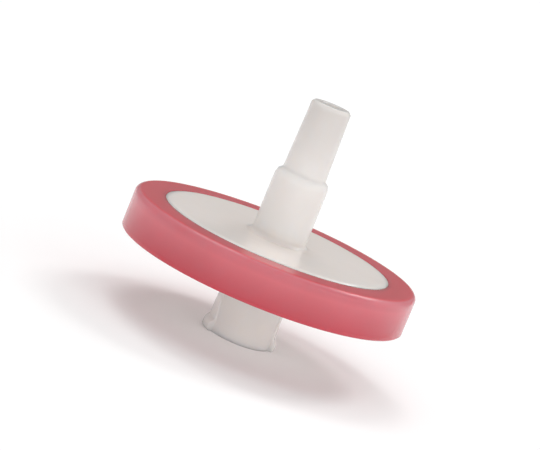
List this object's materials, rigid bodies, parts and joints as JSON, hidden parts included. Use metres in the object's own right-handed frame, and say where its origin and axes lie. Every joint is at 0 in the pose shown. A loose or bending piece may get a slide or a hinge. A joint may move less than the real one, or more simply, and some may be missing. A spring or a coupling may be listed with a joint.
{
  "type": "syringe filter",
  "caption": "Disc syringe filter with a pink moulded ring, a female luer-lock inlet hub below and a stepped stem with a male luer-slip outlet above.",
  "frame": {"origin": "centre of the inlet hub's rim, which the filter stands on", "axes": "+Z along the axis from the inlet hub to the outlet tip; +X through one lock ear"},
  "size_m": [0.029, 0.029, 0.0244],
  "materials": {
    "natural_polypropylene": "milky uncoloured moulding with a soft gloss",
    "pink_polypropylene": "translucent pink-red moulding with a satin gloss",
    "filter_membrane": "matte white microporous sheet"
  },
  "bodies": {
    "root": {"inlet_housing": "natural_polypropylene", "membrane": "filter_membrane", "outlet_housing": "natural_polypropylene", "overmould_ring": "pink_polypropylene"}
  },
  "joints": []
}
